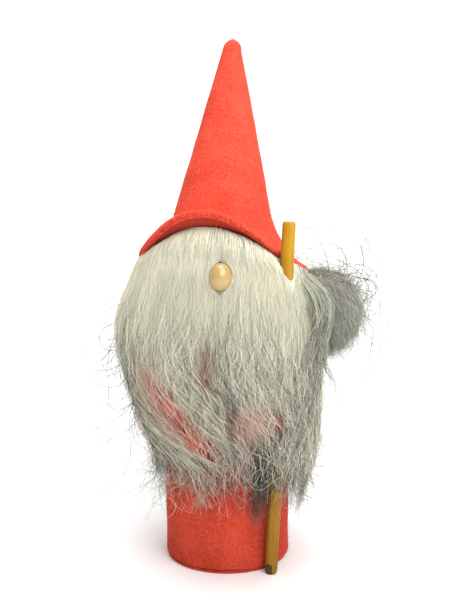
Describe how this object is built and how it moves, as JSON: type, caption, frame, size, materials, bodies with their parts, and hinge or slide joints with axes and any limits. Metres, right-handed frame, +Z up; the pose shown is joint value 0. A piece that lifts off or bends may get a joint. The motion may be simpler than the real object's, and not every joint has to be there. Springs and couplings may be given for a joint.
{
  "type": "tomte gnome figurine",
  "caption": "Standing felt gnome with a tall cone hat, a wooden bead nose, long grey hair, a wooden staff and a round fur sack at the shoulder.",
  "frame": {"origin": "centre of the flat felt underside the gnome stands on", "axes": "+Z up along the body's axis towards the hat's tip; the nose faces -Y; the staff and sack are at +X"},
  "size_m": [0.1393, 0.1129, 0.2802],
  "materials": {
    "red_felt": "wool felt, matt with fine fuzz",
    "hat_felt": "wool felt, matt with fine fuzz",
    "hair": "long fine animal hair, soft sheen",
    "fur": "dense grey fur, soft sheen",
    "hide": "tanned, matt",
    "pale_wood": "clear varnish, glossy",
    "stained_wood": "yellow stain, satin",
    "plain_wood": "unfinished, matt",
    "card": "rolled grey card, matt",
    "wadding": "fibre wadding, matt",
    "sand_bag": "cotton bag of sand, matt",
    "thread": "overlock thread, slight sheen",
    "cord": "twisted cord, matt"
  },
  "bodies": {
    "gnome": {"base_felt": "red_felt", "base_disc": "plain_wood", "ballast_bag": "sand_bag", "core_tube": "card", "body_sleeve": "red_felt", "head_block": "plain_wood", "beard_hide": "hide", "nape_hide": "hide", "beard_hair": "hair", "back_hair": "hair", "nose_bead": "pale_wood", "nose_peg": "plain_wood", "arm_sleeve_left": "red_felt", "arm_sleeve_right": "red_felt", "mitten_left": "red_felt", "mitten_right": "red_felt"},
    "hat": {"hat_shell": "hat_felt", "hat_stuffing": "wadding", "brim_stitching": "thread", "hat_back_seam": "thread"},
    "staff": {"staff": "stained_wood"},
    "sack": {"sack_hair": "fur", "sack_hide": "hide", "sack_stuffing": "wadding", "sack_cord": "cord"}
  },
  "joints": [
    {"name": "hat_lift", "type": "slide", "parent": "gnome", "child": "hat", "axis": [0, 0, 1], "range_m": [0, 0.12]},
    {"name": "staff_slide", "type": "slide", "parent": "gnome", "child": "staff", "axis": [0.0431, -0.0381, 0.9983], "range_m": [0, 0.1]},
    {"name": "sack_swing", "type": "hinge", "parent": "gnome", "child": "sack", "pos_m": [0.0395, 0.0175, 0.1575], "axis": [0.4051, -0.9143, 0], "range_deg": [-1.5, 22]}
  ]
}
